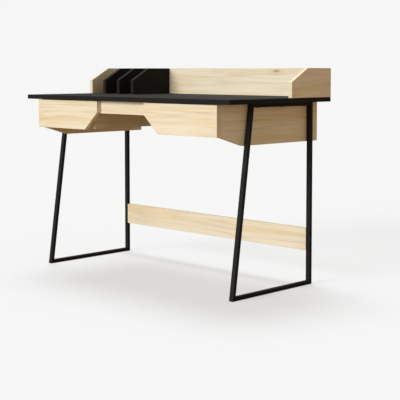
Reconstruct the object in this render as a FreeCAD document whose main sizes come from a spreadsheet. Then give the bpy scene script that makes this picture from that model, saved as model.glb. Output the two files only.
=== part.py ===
import FreeCAD, Part
import Sketcher
import os
import re

# Writing desk: a black top on two closed steel side frames, a wooden gallery with letter slots
# on the top, and a slim cabinet with two drawers under it.
#
# Frame of the part: millimetres, +Z up, X to the right, Y from the sitter towards the back.
# The origin is on the floor, under the middle of the desktop.

# Driving dimensions: alias, size in mm, and what it measures.
SIZES = [
    ("desk_width", 1200, "desktop, left to right"),
    ("desk_depth", 590, "desktop, front to back"),
    ("desk_height", 746, "floor to the desktop's upper face"),
    ("board", 18, "thickness of the desktop and of all main boards"),
    ("arris", 0.8, "rounding of the boards' edges"),
    ("gallery_height", 114, "gallery above the desktop"),
    ("gallery_depth", 240, "gallery, front to back"),
    ("gallery_nose", 61, "upright front edge of the gallery's end panels and dividers"),
    ("gallery_slope", 96, "how far back the sloping edge of these panels runs"),
    ("divider_board", 16, "thickness of the dividers"),
    ("slot_width", 77, "clear width of a letter slot"),
    ("cabinet_width", 1064, "cabinet under the desktop, outside"),
    ("cabinet_setback", 27, "desktop's front edge to the cabinet's front edges"),
    ("side_height", 157, "cabinet side panels below the desktop"),
    ("side_front_height", 120.5, "the same at the front edge, where the lower edge slopes up"),
    ("side_slope", 123, "how far back the sloping lower edge runs"),
    ("partition_height", 118, "partitions and back panel below the desktop"),
    ("partition_gap", 392, "clear width between the two partitions"),
    ("rail_height", 52, "front rail across the partitions' front edges"),
    ("front_gap", 280, "clear width between the two drawer fronts"),
    ("front_height", 118.5, "drawer front, top to bottom"),
    ("front_top_gap", 2, "desktop to the drawer front's top edge"),
    ("front_back_gap", 1, "cabinet's front edges to the drawer front's back"),
    ("front_upright", 46, "upright inner edge of a drawer front"),
    ("front_slant", 79, "sideways run of the slanting grip edge of a drawer front"),
    ("drawer_board", 12, "drawer sides and back"),
    ("drawer_height", 90, "drawer sides"),
    ("drawer_length", 500, "drawer sides"),
    ("drawer_bottom_gap", 106, "desktop to the drawer sides' lower edges"),
    ("hardboard", 3, "drawer bottom"),
    ("groove_depth", 5, "groove that holds the drawer bottom"),
    ("groove_rise", 8, "drawer sides' lower edge to the groove"),
    ("groove_play", 0.25, "gap all round the drawer bottom in its grooves"),
    ("runner_length", 450, "cabinet and drawer members of a runner"),
    ("runner_setback", 21, "cabinet's front edges to the runner's front end"),
    ("runner_space", 12.5, "space between a panel and a drawer side"),
    ("runner_height", 35, "cabinet member"),
    ("runner_depth", 11, "cabinet member, out from its panel"),
    ("runner_lip", 2.7, "turned-in edge of the cabinet member"),
    ("slider_height", 22, "drawer member"),
    ("slider_depth", 9.3, "drawer member, out from the drawer side"),
    ("gauge", 1.2, "sheet thickness of both runner members"),
    ("ball_size", 5, "diameter of a bearing ball"),
    ("ball_offset", 5.5, "panel to the balls' centres"),
    ("ball_pitch", 25, "ball to ball along the runner"),
    ("cage_length", 140, "ball cage"),
    ("cage_setback", 155, "runner's front end to the cage's, drawer closed"),
    ("cage_gauge", 0.9, "sheet thickness of the cage"),
    ("cage_web_offset", 1.7, "panel to the cage's upright web"),
    ("cage_depth", 7.2, "cage, out from its web's back"),
    ("cage_hole", 5.4, "diameter of a ball's hole in the cage"),
    ("frame_width", 1110, "outer faces of the two side frames"),
    ("frame_foot", 70, "desktop's front edge to the frame's front foot"),
    ("frame_front_top", 173, "desktop's front edge to the leaning leg's top"),
    ("frame_back", 535, "desktop's front edge to the rear leg's back"),
    ("tube_width", 20, "frame tube, sideways"),
    ("tube_depth", 15, "frame tube, in the plane of the frame"),
    ("tube_wall", 1.5, "wall of the frame tube"),
    ("tube_corner", 2, "rounding of the frame tube"),
    ("stretcher_bottom", 134, "floor to the stretcher"),
    ("stretcher_height", 90, "stretcher board between the rear legs"),
    ("dowel", 8, "diameter of the dowels in the main boards"),
    ("dowel_in_face", 12, "how deep a dowel goes into a board's face"),
    ("dowel_in_edge", 18, "how deep a dowel goes into a board's edge"),
    ("pin", 6, "diameter of the dowels in the drawers"),
    ("pin_in_front", 11, "how deep these go into a drawer front"),
    ("pin_in_side_face", 7, "how deep these go into the face of a drawer side"),
    ("pin_in_end", 18, "how deep these go into the end of a drawer side or back"),
    ("frame_screw", 4.8, "shank of the screws that hold the frames to the desktop"),
    ("frame_screw_clearance", 5, "their holes in the frame tube"),
    ("frame_screw_head", 9, "head diameter"),
    ("frame_screw_head_height", 1.6, "head height"),
    ("stretcher_bolt", 6, "shank of the bolts that hold the stretcher"),
    ("stretcher_bolt_head", 11, "flush head diameter"),
    ("stretcher_bolt_depth", 45, "how deep they go into the stretcher's ends"),
    ("runner_screw", 3.5, "shank of the runners' screws"),
    ("runner_screw_head", 6.4, "flush head diameter"),
    ("runner_screw_depth", 10, "how deep they go into wood"),
    ("gallery_dowel_front", 40, "gallery's front edge to the first dowel of an end or divider"),
    ("gallery_dowel_rear", 180, "the same to the second dowel"),
    ("gallery_back_left", 170, "centre plane to the gallery back's dowel on the left"),
    ("gallery_back_first", 100, "centre plane to its first dowel on the right"),
    ("gallery_back_pitch", 200, "from there to each further dowel on the right"),
    ("cabinet_dowel_front", 60, "cabinet's front edges to the first dowel of an upright panel"),
    ("cabinet_dowel_pitch", 210, "from there to each further dowel"),
    ("rail_dowel_side", 100, "centre plane to the front rail's upright dowels"),
    ("rail_dowel_upper", 14, "desktop to the upper dowel between rail and partition"),
    ("rail_dowel_lower", 38, "desktop to the lower one"),
    ("back_dowel_near", 60, "centre plane to the cabinet back's inner upright dowels"),
    ("back_dowel_far", 400, "centre plane to its outer ones"),
    ("back_dowel_upper", 30, "desktop to the upper dowel in each end of the cabinet back"),
    ("back_dowel_lower", 90, "desktop to the lower one"),
    ("pin_lower", 25, "drawer sides' lower edge to the lower dowel of each corner"),
    ("pin_upper", 68, "the same to the upper one"),
    ("drawer_back_setback", 10, "rear ends of the drawer sides to the drawer back"),
    ("drawer_bottom_setback", 2, "rear ends of the drawer sides to the bottom's rear edge"),
    ("runner_screw_front", 20, "runner's front end to its first screw"),
    ("runner_screw_middle", 330, "the same to its second screw"),
    ("runner_screw_rear", 430, "the same to its third screw"),
    ("frame_screw_front", 45, "leaning leg's top to the first screw of a frame"),
    ("frame_screw_pitch", 135, "from there to each further screw"),
    ("stretcher_bolt_lower", 22, "stretcher's lower edge to the lower bolt of each end"),
    ("stretcher_bolt_upper", 68, "the same to the upper bolt"),
]

doc = FreeCAD.newDocument("writing_desk")
sheet = doc.addObject("Spreadsheet::Sheet", "Sizes")
for row, (alias, size, meaning) in enumerate(SIZES, start=1):
    sheet.set(f"A{row}", str(size))
    sheet.setAlias(f"A{row}", alias)
    sheet.set(f"B{row}", meaning)
doc.recompute()

# Each origin plane's role, and which way its normal points along the model's axis.
PLANES = {"XY": ("XY_Plane", 1), "XZ": ("XZ_Plane", -1), "YZ": ("YZ_Plane", 1)}
nodes = []


# ---------------------------------------------------------------------------
# Sums of sheet sizes, sketches and features
# ---------------------------------------------------------------------------

def bound(text):
    """A sum written in the sheet's aliases, as the expression that reads them from the sheet."""
    return re.sub(r"\b[a-z_]+\b(?!\()", lambda word: "Sizes." + word.group(), str(text))


def value(text):
    """What such a sum comes to, in mm."""
    return float(sheet.evalExpression(bound(text)))


def new_body(label):
    """An empty body that is written out as the node of the same name."""
    body = doc.addObject("PartDesign::Body", label)
    body.Label = label
    nodes.append(body)
    return body


def new_sketch(body, plane, start):
    """An empty sketch parallel to an origin plane of the body, at `start` along that plane's axis."""
    role, sign = PLANES[plane]
    sketch = body.newObject("Sketcher::SketchObject", body.Name + "_sketch")
    support = [feature for feature in body.Origin.OriginFeatures if feature.Role == role][0]
    sketch.AttachmentSupport = [(support, "")]
    sketch.MapMode = "FlatFace"
    sketch.setExpression("AttachmentOffset.Base.z", bound(f"{sign} * ({start})"))
    return sketch


def hold_point(sketch, geometry, point, across, up):
    """Holds one point of a sketch at two sums of sheet sizes from the sketch's origin."""
    for kind, size in (("DistanceX", across), ("DistanceY", up)):
        number = sketch.addConstraint(Sketcher.Constraint(kind, -1, 1, geometry, point, value(size)))
        sketch.setExpression(f"Constraints[{number}]", bound(size))


def add_outline(sketch, corners):
    """A closed outline of straight edges through corners, each given as (across, up)."""
    points = [FreeCAD.Vector(value(across), value(up), 0) for across, up in corners]
    count = len(points)
    for index in range(count):
        edge = Part.LineSegment(points[index], points[(index + 1) % count])
        sketch.addGeometry(edge, False)
    for index in range(count):
        sketch.addConstraint(Sketcher.Constraint("Coincident", index, 2, (index + 1) % count, 1))
    for index, (across, up) in enumerate(corners):
        hold_point(sketch, index, 1, across, up)


def add_circles(sketch, centres, diameter):
    """Equal circles round centres, each given as (across, up)."""
    for across, up in centres:
        centre = FreeCAD.Vector(value(across), value(up), 0)
        circle = Part.Circle(centre, FreeCAD.Vector(0, 0, 1), value(diameter) / 2)
        number = sketch.addGeometry(circle, False)
        hold_point(sketch, number, 3, across, up)
        limit = sketch.addConstraint(Sketcher.Constraint("Diameter", number, value(diameter)))
        sketch.setExpression(f"Constraints[{limit}]", bound(diameter))


def pad(body, plane, start, towards, corners, thickness):
    """Solid on an outline, `thickness` thick in the direction `towards` (+1 or -1) of the axis."""
    sketch = new_sketch(body, plane, start)
    add_outline(sketch, corners)
    feature = body.newObject("PartDesign::Pad", body.Name + "_pad")
    feature.Profile = sketch
    feature.setExpression("Length", bound(thickness))
    feature.Reversed = towards != PLANES[plane][1]
    return feature


def pocket(body, sketch, plane, towards, depth):
    """Cuts a sketch's shape into the body, `depth` deep in the direction `towards` of the axis."""
    feature = body.newObject("PartDesign::Pocket", body.Name + "_pocket")
    feature.Profile = sketch
    feature.setExpression("Length", bound(depth))
    feature.Reversed = towards == PLANES[plane][1]
    return feature


def drill(body, plane, start, towards, centres, diameter, depth):
    """Round holes from the plane at `start`, `depth` deep in the direction `towards`."""
    sketch = new_sketch(body, plane, start)
    add_circles(sketch, centres, diameter)
    return pocket(body, sketch, plane, towards, depth)


def slot(body, plane, start, towards, corners, depth):
    """A straight-edged recess, cut in the same way as a hole."""
    sketch = new_sketch(body, plane, start)
    add_outline(sketch, corners)
    return pocket(body, sketch, plane, towards, depth)


def round_edges(body, base, radius, shortest=0):
    """Rounds every edge of a feature that is longer than `shortest`, in mm."""
    doc.recompute()
    edges = enumerate(base.Shape.Edges, start=1)
    feature = body.newObject("PartDesign::Fillet", body.Name + "_arris")
    feature.Base = (base, [f"Edge{number}" for number, edge in edges if edge.Length > shortest])
    feature.setExpression("Radius", bound(radius))


def make_board(label, plane, start, towards, corners, thickness="board"):
    """A flat board with eased edges."""
    body = new_body(label)
    base = pad(body, plane, start, towards, corners, thickness)
    round_edges(body, base, "arris")
    return body


def rectangle(across_from, across_to, up_from, up_to):
    """The four corners of an upright rectangle."""
    return [(across_from, up_from), (across_to, up_from), (across_to, up_to), (across_from, up_to)]


# ---------------------------------------------------------------------------
# Round fasteners, each a solid of its own in a shared node
# ---------------------------------------------------------------------------

AXIS_TURNS = {
    "X": FreeCAD.Rotation(FreeCAD.Vector(0, 1, 0), 90),
    "Y": FreeCAD.Rotation(FreeCAD.Vector(1, 0, 0), -90),
    "Z": FreeCAD.Rotation(),
}


def place_at(feature, centre):
    """Binds a primitive's position to three sums of sheet sizes."""
    for letter, size in zip("xyz", centre):
        feature.setExpression(f"Placement.Base.{letter}", bound(size))


def rod(centre, axis, diameter, length):
    """A plain cylinder that starts at `centre` and runs along +X, +Y or +Z."""
    feature = doc.addObject("Part::Cylinder", "rod")
    feature.Placement = FreeCAD.Placement(FreeCAD.Vector(), AXIS_TURNS[axis])
    feature.setExpression("Radius", bound(f"({diameter}) / 2"))
    feature.setExpression("Height", bound(length))
    place_at(feature, centre)
    return feature


def headed(head, shank):
    """A screw or bolt: its head and its shank in one solid."""
    feature = doc.addObject("Part::Fuse", "screw")
    feature.Base = head
    feature.Tool = shank
    return feature


def group(label, pieces):
    """Identical loose pieces in one node."""
    feature = doc.addObject("Part::Compound", label)
    feature.Label = label
    feature.Links = pieces
    nodes.append(feature)


# ---------------------------------------------------------------------------
# Reference faces, as sums of sheet sizes
# ---------------------------------------------------------------------------

FRONT = "(-desk_depth / 2)"
BACK = "(desk_depth / 2)"
TOP = "desk_height"
UNDERSIDE = "(desk_height - board)"
GALLERY_FRONT = "(desk_depth / 2 - gallery_depth)"
GALLERY_TOP = "(desk_height + gallery_height)"
CABINET_FRONT = f"({FRONT} + cabinet_setback)"
CABINET_SIDE = "(cabinet_width / 2)"
BACK_PANEL_FACE = f"({BACK} - board)"
RAIL_BACK_FACE = f"({CABINET_FRONT} + board)"
PARTITION_INNER = "(partition_gap / 2)"
PARTITION_OUTER = "(partition_gap / 2 + board)"
SIDE_INNER = "(cabinet_width / 2 - board)"
SIDES = {"left": -1, "right": 1}


# ---------------------------------------------------------------------------
# Desktop and gallery
# ---------------------------------------------------------------------------

def divider_left_face(number):
    """X of the left face of letter divider 1, 2 or 3."""
    return f"(-desk_width / 2 + board + {number} * slot_width + {number - 1} * divider_board)"


def gallery_outline():
    """Side view of a gallery end panel or divider, without its back edge's Y."""
    return [
        (GALLERY_FRONT, TOP),
        (GALLERY_FRONT, f"{TOP} + gallery_nose"),
        (f"{GALLERY_FRONT} + gallery_slope", GALLERY_TOP),
    ]


gallery_end_x = [f"{side} * (desk_width - board) / 2" for side in SIDES.values()]
divider_x = [f"{divider_left_face(number)} + divider_board / 2" for number in (1, 2, 3)]
GALLERY_DOWEL_Y = [f"{GALLERY_FRONT} + gallery_dowel_front", f"{GALLERY_FRONT} + gallery_dowel_rear"]
gallery_dowels = [(x, y) for x in gallery_end_x + divider_x for y in GALLERY_DOWEL_Y]
back_dowel_x = ["-gallery_back_left"]
back_dowel_x += [f"gallery_back_first + {step} * gallery_back_pitch" for step in range(3)]
back_dowels = [(x, f"{BACK} - board / 2") for x in back_dowel_x]

cabinet_side_x = [f"{side} * ({CABINET_SIDE} - board / 2)" for side in SIDES.values()]
partition_x = [f"{side} * ({PARTITION_INNER} + board / 2)" for side in SIDES.values()]
CABINET_DOWEL_Y = [
    f"{CABINET_FRONT} + cabinet_dowel_front + {step} * cabinet_dowel_pitch" for step in range(3)
]
cabinet_dowels = [(x, y) for x in cabinet_side_x + partition_x for y in CABINET_DOWEL_Y]
rail_dowels = [
    (f"{side} * rail_dowel_side", f"{CABINET_FRONT} + board / 2") for side in SIDES.values()
]
back_panel_dowels = [
    (f"{side} * {size}", f"{BACK} - board / 2")
    for side in SIDES.values()
    for size in ("back_dowel_near", "back_dowel_far")
]

frame_screw_x = [f"{side} * (frame_width - tube_width) / 2" for side in SIDES.values()]
FRAME_SCREW_Y = [
    f"{FRONT} + frame_front_top + frame_screw_front + {step} * frame_screw_pitch" for step in range(3)
]
frame_screws = [(x, y) for x in frame_screw_x for y in FRAME_SCREW_Y]


def make_desktop():
    """The black top board, drilled above for the gallery and below for the cabinet and frames."""
    outline = rectangle("-desk_width / 2", "desk_width / 2", FRONT, BACK)
    body = make_board("desktop", "XY", UNDERSIDE, 1, outline)
    drill(body, "XY", TOP, -1, gallery_dowels + back_dowels, "dowel", "dowel_in_face")
    underneath = cabinet_dowels + rail_dowels + back_panel_dowels
    drill(body, "XY", UNDERSIDE, 1, underneath, "dowel", "dowel_in_face")
    drill(body, "XY", UNDERSIDE, 1, frame_screws, "frame_screw", "dowel_in_face")


def make_gallery():
    """End panels, back panel and letter dividers, all on dowels in the desktop."""
    end_outline = gallery_outline() + [(BACK, GALLERY_TOP), (BACK, TOP)]
    for word, side in SIDES.items():
        body = make_board(f"gallery_{word}_end", "YZ", f"{side} * desk_width / 2", -side, end_outline)
        places = [place for place in gallery_dowels if place[0] == f"{side} * (desk_width - board) / 2"]
        drill(body, "XY", TOP, 1, places, "dowel", "dowel_in_edge")
    outline = rectangle("-desk_width / 2 + board", "desk_width / 2 - board", TOP, GALLERY_TOP)
    body = make_board("gallery_back_panel", "XZ", BACK_PANEL_FACE, 1, outline)
    drill(body, "XY", TOP, 1, back_dowels, "dowel", "dowel_in_edge")
    divider_outline = gallery_outline() + [(BACK_PANEL_FACE, GALLERY_TOP), (BACK_PANEL_FACE, TOP)]
    for number, middle in enumerate(divider_x, start=1):
        face = divider_left_face(number)
        body = make_board(f"letter_divider_{number}", "YZ", face, 1, divider_outline, "divider_board")
        places = [place for place in gallery_dowels if place[0] == middle]
        drill(body, "XY", TOP, 1, places, "dowel", "dowel_in_edge")
    below_top = [(x, y, f"{TOP} - dowel_in_face") for x, y in gallery_dowels + back_dowels]
    length = "dowel_in_face + dowel_in_edge"
    group("gallery_dowels", [rod(place, "Z", "dowel", length) for place in below_top])


# ---------------------------------------------------------------------------
# Cabinet under the desktop
# ---------------------------------------------------------------------------

RAIL_DOWEL_Z = [f"{UNDERSIDE} - rail_dowel_upper", f"{UNDERSIDE} - rail_dowel_lower"]
BACK_DOWEL_Z = [f"{UNDERSIDE} - back_dowel_upper", f"{UNDERSIDE} - back_dowel_lower"]
RUNNER_MIDDLE = f"({UNDERSIDE} - drawer_bottom_gap + drawer_height / 2)"
RUNNER_FRONT = f"({CABINET_FRONT} + runner_setback)"
RUNNER_SCREW_Y = [
    f"{RUNNER_FRONT} + {size}"
    for size in ("runner_screw_front", "runner_screw_middle", "runner_screw_rear")
]


def rail_joint_places(side):
    """X and Z of the dowels between the rail and one partition's front edge."""
    return [(f"{side} * ({PARTITION_INNER} + board / 2)", z) for z in RAIL_DOWEL_Z]


def make_side_panels():
    """Outer panels, whose lower edges slope up to the drawer fronts."""
    outline = [
        (CABINET_FRONT, UNDERSIDE),
        (BACK, UNDERSIDE),
        (BACK, f"{UNDERSIDE} - side_height"),
        (f"{CABINET_FRONT} + side_slope", f"{UNDERSIDE} - side_height"),
        (CABINET_FRONT, f"{UNDERSIDE} - side_front_height"),
    ]
    for word, side in SIDES.items():
        body = make_board(f"{word}_side_panel", "YZ", f"{side} * {CABINET_SIDE}", -side, outline)
        top_places = [(f"{side} * ({CABINET_SIDE} - board / 2)", y) for y in CABINET_DOWEL_Y]
        drill(body, "XY", UNDERSIDE, -1, top_places, "dowel", "dowel_in_edge")
        back_places = [(f"{BACK} - board / 2", z) for z in BACK_DOWEL_Z]
        drill(body, "YZ", f"{side} * {SIDE_INNER}", side, back_places, "dowel", "dowel_in_face")
        screws = [(y, RUNNER_MIDDLE) for y in RUNNER_SCREW_Y]
        drill(body, "YZ", f"{side} * {SIDE_INNER}", side, screws, "runner_screw", "runner_screw_depth")


def make_partitions():
    """Inner panels behind the front rail, which carry the inner runner of each drawer."""
    outline = rectangle(RAIL_BACK_FACE, BACK_PANEL_FACE, f"{UNDERSIDE} - partition_height", UNDERSIDE)
    for word, side in SIDES.items():
        body = make_board(f"{word}_partition", "YZ", f"{side} * {PARTITION_INNER}", side, outline)
        top_places = [(f"{side} * ({PARTITION_INNER} + board / 2)", y) for y in CABINET_DOWEL_Y]
        drill(body, "XY", UNDERSIDE, -1, top_places, "dowel", "dowel_in_edge")
        drill(body, "XZ", RAIL_BACK_FACE, 1, rail_joint_places(side), "dowel", "dowel_in_edge")
        screws = [(y, RUNNER_MIDDLE) for y in RUNNER_SCREW_Y]
        face = f"{side} * {PARTITION_OUTER}"
        drill(body, "YZ", face, -side, screws, "runner_screw", "runner_screw_depth")


def make_front_rail():
    """Fixed rail across the partitions' front edges, flush with the side panels' front edges."""
    outline = rectangle(f"-{PARTITION_OUTER}", PARTITION_OUTER, f"{UNDERSIDE} - rail_height", UNDERSIDE)
    body = make_board("front_rail", "XZ", CABINET_FRONT, 1, outline)
    drill(body, "XY", UNDERSIDE, -1, rail_dowels, "dowel", "dowel_in_edge")
    for side in SIDES.values():
        drill(body, "XZ", RAIL_BACK_FACE, -1, rail_joint_places(side), "dowel", "dowel_in_face")


def make_back_panel():
    """Back of the cabinet, between the side panels and behind the partitions."""
    low = f"{UNDERSIDE} - partition_height"
    outline = rectangle(f"-{SIDE_INNER}", SIDE_INNER, low, UNDERSIDE)
    body = make_board("cabinet_back_panel", "XZ", BACK_PANEL_FACE, 1, outline)
    drill(body, "XY", UNDERSIDE, -1, back_panel_dowels, "dowel", "dowel_in_edge")
    end_places = [(f"{BACK} - board / 2", z) for z in BACK_DOWEL_Z]
    for side in SIDES.values():
        drill(body, "YZ", f"{side} * {SIDE_INNER}", -side, end_places, "dowel", "dowel_in_edge")


def make_cabinet_dowels():
    """Dowels up into the desktop, and from the rail and the back panel into their neighbours."""
    length = "dowel_in_face + dowel_in_edge"
    upright = cabinet_dowels + rail_dowels + back_panel_dowels
    low = f"{UNDERSIDE} - dowel_in_edge"
    pieces = [rod((x, y, low), "Z", "dowel", length) for x, y in upright]
    for side in SIDES.values():
        into_board = "dowel_in_edge" if side > 0 else "dowel_in_face"
        back_x = f"{side} * {SIDE_INNER} - {into_board}"
        for x, z in rail_joint_places(side):
            pieces.append(rod((x, f"{RAIL_BACK_FACE} - dowel_in_face", z), "Y", "dowel", length))
        for z in BACK_DOWEL_Z:
            pieces.append(rod((back_x, f"{BACK} - board / 2", z), "X", "dowel", length))
    group("cabinet_dowels", pieces)


# ---------------------------------------------------------------------------
# Drawers
# ---------------------------------------------------------------------------

FRONT_BACK_FACE = f"({CABINET_FRONT} - front_back_gap)"
FRONT_TOP = f"({UNDERSIDE} - front_top_gap)"
FRONT_BOTTOM = f"({FRONT_TOP} - front_height)"
BOX_BOTTOM = f"({UNDERSIDE} - drawer_bottom_gap)"
BOX_BACK = f"({FRONT_BACK_FACE} + drawer_length)"
BOX_OUTER = f"({SIDE_INNER} - runner_space)"
BOX_INNER = f"({PARTITION_OUTER} + runner_space)"
GROOVE_LOW = f"({BOX_BOTTOM} + groove_rise)"
PIN_Z = [f"{BOX_BOTTOM} + pin_lower", f"{BOX_BOTTOM} + pin_upper"]
DRAWER_BACK_FACE = f"({BOX_BACK} - drawer_back_setback)"


def make_drawer_front(word, side):
    """Front board: its inner lower corner is cut off on the slant to make the finger grip."""
    body = new_body(f"{word}_drawer_front")
    outline = [
        (f"{side} * {CABINET_SIDE}", FRONT_TOP),
        (f"{side} * front_gap / 2", FRONT_TOP),
        (f"{side} * front_gap / 2", f"{FRONT_TOP} - front_upright"),
        (f"{side} * (front_gap / 2 + front_slant)", FRONT_BOTTOM),
        (f"{side} * {CABINET_SIDE}", FRONT_BOTTOM),
    ]
    base = pad(body, "XZ", FRONT_BACK_FACE, -1, outline, "board")
    round_edges(body, base, "arris")
    pins = [(f"{side} * ({x})", z) for x in drawer_side_middles() for z in PIN_Z]
    drill(body, "XZ", FRONT_BACK_FACE, -1, pins, "pin", "pin_in_front")
    groove = rectangle(f"{side} * ({BOX_OUTER} - drawer_board + groove_depth)",
                       f"{side} * ({BOX_INNER} + drawer_board - groove_depth)",
                       GROOVE_LOW, f"{GROOVE_LOW} + hardboard + 2 * groove_play")
    slot(body, "XZ", FRONT_BACK_FACE, -1, groove, "groove_depth")


def drawer_side_middles():
    """Distance from the desk's centre plane to the middle of a drawer's outer and inner side."""
    return f"{BOX_OUTER} - drawer_board / 2", f"{BOX_INNER} + drawer_board / 2"


def make_drawer_side(word, side, which):
    """Outer or inner side board, grooved for the bottom."""
    outer = which == "outer"
    face = BOX_OUTER if outer else BOX_INNER
    inwards = -side if outer else side
    outline = rectangle(FRONT_BACK_FACE, BOX_BACK, BOX_BOTTOM, f"{BOX_BOTTOM} + drawer_height")
    body = make_board(f"{word}_drawer_{which}_side", "YZ", f"{side} * {face}", inwards, outline,
                      "drawer_board")
    inside = f"{side} * {face} + {inwards} * drawer_board"
    groove_top = f"{GROOVE_LOW} + hardboard + 2 * groove_play"
    groove = rectangle(FRONT_BACK_FACE, BOX_BACK, GROOVE_LOW, groove_top)
    slot(body, "YZ", inside, -inwards, groove, "groove_depth")
    middle = f"{side} * {face} + {inwards} * drawer_board / 2"
    drill(body, "XZ", FRONT_BACK_FACE, 1, [(middle, z) for z in PIN_Z], "pin", "pin_in_end")
    back_pins = [(f"{DRAWER_BACK_FACE} - drawer_board / 2", z) for z in PIN_Z]
    drill(body, "YZ", inside, -inwards, back_pins, "pin", "pin_in_side_face")
    screws = [(y, RUNNER_MIDDLE) for y in RUNNER_SCREW_Y]
    drill(body, "YZ", f"{side} * {face}", inwards, screws, "runner_screw", "runner_screw_depth")


def make_drawer_back(word, side):
    """Back board between the two sides; the bottom runs under its lower edge."""
    low = f"{GROOVE_LOW} + hardboard + 2 * groove_play"
    outer = f"{side} * ({BOX_OUTER} - drawer_board)"
    inner = f"{side} * ({BOX_INNER} + drawer_board)"
    outline = rectangle(outer, inner, low, f"{BOX_BOTTOM} + drawer_height")
    body = make_board(f"{word}_drawer_back", "XZ", DRAWER_BACK_FACE, -1, outline, "drawer_board")
    pins = [(f"{DRAWER_BACK_FACE} - drawer_board / 2", z) for z in PIN_Z]
    drill(body, "YZ", outer, -side, pins, "pin", "pin_in_end")
    drill(body, "YZ", inner, side, pins, "pin", "pin_in_end")


def make_drawer_bottom(word, side):
    """Hardboard sheet in the grooves of the front and the sides."""
    play = "groove_depth - groove_play"
    outline = rectangle(f"{side} * ({BOX_OUTER} - drawer_board + {play})",
                        f"{side} * ({BOX_INNER} + drawer_board - ({play}))",
                        f"{FRONT_BACK_FACE} - ({play})", f"{BOX_BACK} - drawer_bottom_setback")
    body = new_body(f"{word}_drawer_bottom")
    pad(body, "XY", f"{GROOVE_LOW} + groove_play", 1, outline, "hardboard")


def make_drawer_pins(word, side):
    """Dowels from the front into the sides, and from the sides into the back."""
    pieces = []
    for x in drawer_side_middles():
        for z in PIN_Z:
            place = (f"{side} * ({x})", f"{FRONT_BACK_FACE} - pin_in_front", z)
            pieces.append(rod(place, "Y", "pin", "pin_in_front + pin_in_end"))
    for face, inwards in ((BOX_OUTER, -side), (BOX_INNER, side)):
        reach = "pin_in_side_face" if inwards > 0 else "pin_in_end"
        x = f"{side} * {face} + {inwards} * drawer_board - {reach}"
        for z in PIN_Z:
            place = (x, f"{DRAWER_BACK_FACE} - drawer_board / 2", z)
            pieces.append(rod(place, "X", "pin", "pin_in_side_face + pin_in_end"))
    group(f"{word}_drawer_dowels", pieces)


# ---------------------------------------------------------------------------
# Ball-bearing runners
# ---------------------------------------------------------------------------

def section(wall, out, profile):
    """A runner profile of (distance from the panel, height) pairs, set on a panel at X = wall."""
    return [(f"{wall} + {out} * ({depth})", f"{RUNNER_MIDDLE} + ({height})") for depth, height in profile]


def cabinet_member_profile():
    """A channel whose web lies on the panel, with turned-in lips."""
    half = "runner_height / 2"
    upper = [
        ("0", half),
        ("runner_depth", half),
        ("runner_depth", f"{half} - runner_lip"),
        ("runner_depth - gauge", f"{half} - runner_lip"),
        ("runner_depth - gauge", f"{half} - gauge"),
        ("gauge", f"{half} - gauge"),
    ]
    return upper + [(depth, f"-({height})") for depth, height in reversed(upper)]


def drawer_member_profile():
    """A narrower channel whose web lies on the drawer side and whose flanges reach back."""
    half = "slider_height / 2"
    upper = [
        ("runner_space", half),
        ("runner_space - slider_depth", half),
        ("runner_space - slider_depth", f"{half} - gauge"),
        ("runner_space - gauge", f"{half} - gauge"),
    ]
    return upper + [(depth, f"-({height})") for depth, height in reversed(upper)]


BALL_HEIGHT = "((runner_height / 2 - gauge + slider_height / 2) / 2)"
BALLS_IN_ROW = 6


def ball_positions():
    """Y of the balls of a row, which is centred on the cage."""
    first = f"{RUNNER_FRONT} + cage_setback + (cage_length - {BALLS_IN_ROW - 1} * ball_pitch) / 2"
    return [f"{first} + {step} * ball_pitch" for step in range(BALLS_IN_ROW)]


def cage_profile():
    """A thin channel between the two members, whose flanges lie at the height of the balls."""
    half = f"{BALL_HEIGHT} + cage_gauge / 2"
    upper = [
        ("cage_web_offset", half),
        ("cage_web_offset + cage_depth", half),
        ("cage_web_offset + cage_depth", f"{half} - cage_gauge"),
        ("cage_web_offset + cage_gauge", f"{half} - cage_gauge"),
    ]
    return upper + [(depth, f"-({height})") for depth, height in reversed(upper)]


def make_member(label, wall, out, profile, web_depth):
    """One runner member with holes for the flush heads of its three screws."""
    body = new_body(label)
    pad(body, "XZ", RUNNER_FRONT, 1, section(wall, out, profile), "runner_length")
    screws = [(y, RUNNER_MIDDLE) for y in RUNNER_SCREW_Y]
    drill(body, "YZ", f"{wall} + {out} * ({web_depth})", out, screws, "runner_screw_head", "gauge")


def make_cage(label, wall, out):
    """Ball cage, pierced above and below for the balls."""
    body = new_body(label)
    start = f"{RUNNER_FRONT} + cage_setback"
    pad(body, "XZ", start, 1, section(wall, out, cage_profile()), "cage_length")
    holes = [(f"{wall} + {out} * ball_offset", y) for y in ball_positions()]
    drill(body, "XY", f"{RUNNER_MIDDLE} + runner_height / 2", -1, holes, "cage_hole", "runner_height")


def make_balls(label, wall, out):
    """Two rows of balls."""
    pieces = []
    for sign in (1, -1):
        for y in ball_positions():
            ball = doc.addObject("Part::Sphere", "ball")
            ball.setExpression("Radius", bound("ball_size / 2"))
            place_at(ball, (f"{wall} + {out} * ball_offset", y, f"{RUNNER_MIDDLE} + {sign} * {BALL_HEIGHT}"))
            pieces.append(ball)
    group(label, pieces)


def runner_screw(x, out, y):
    """Flush-headed screw whose head is in a web that starts at x, and whose shank goes the way `out`."""
    head_x = x if out > 0 else f"{x} - gauge"
    shank_x = f"{x} + gauge" if out > 0 else f"{x} - gauge - runner_screw_depth"
    head = rod((head_x, y, RUNNER_MIDDLE), "X", "runner_screw_head", "gauge")
    shank = rod((shank_x, y, RUNNER_MIDDLE), "X", "runner_screw", "runner_screw_depth")
    return headed(head, shank)


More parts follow.
